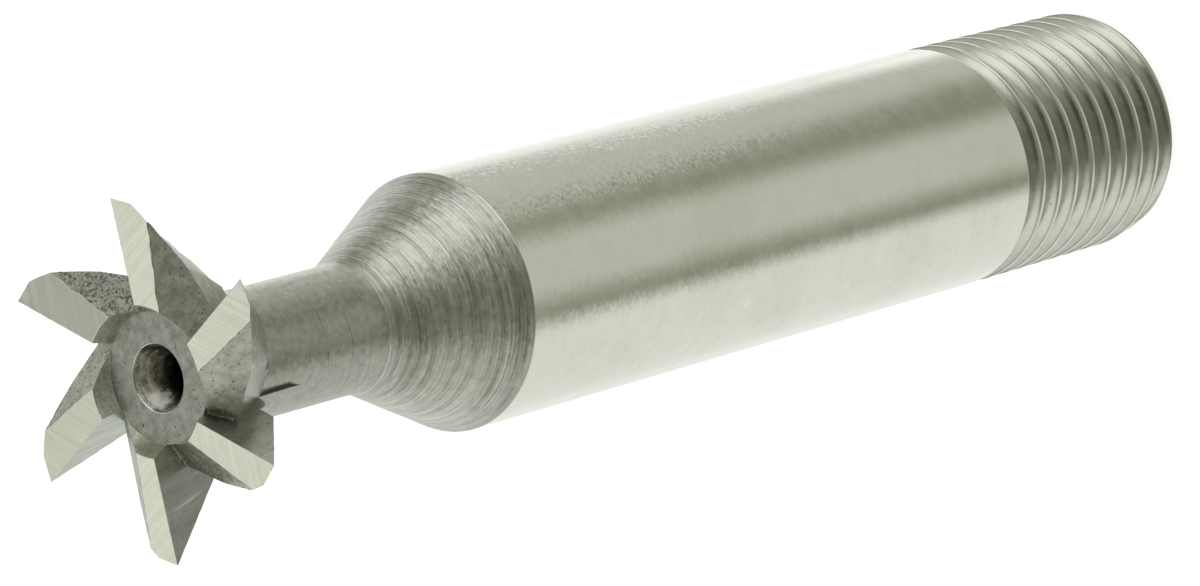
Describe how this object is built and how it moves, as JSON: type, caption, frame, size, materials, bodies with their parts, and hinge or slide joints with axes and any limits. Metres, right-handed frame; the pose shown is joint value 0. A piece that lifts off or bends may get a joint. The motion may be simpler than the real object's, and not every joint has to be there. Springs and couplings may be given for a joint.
{
  "type": "dovetail cutter",
  "caption": "Dovetail milling cutter: toothed 45 degree head on a reduced neck, cylindrical shank that ends in a screw thread, all one piece of high-speed steel.",
  "frame": {"origin": "centre of the flat end face of the shank, which the cutter stands on", "axes": "+Z along the axis of rotation from the threaded end to the teeth; +X through the tip of one tooth; positive rotation about +Z is the cutting direction"},
  "size_m": [0.0164, 0.0146, 0.0674],
  "materials": {
    "steel": "ground shank, turned neck and cone, ground tooth faces"
  },
  "bodies": {
    "root": {"dovetail_cutter": "steel"}
  },
  "joints": []
}
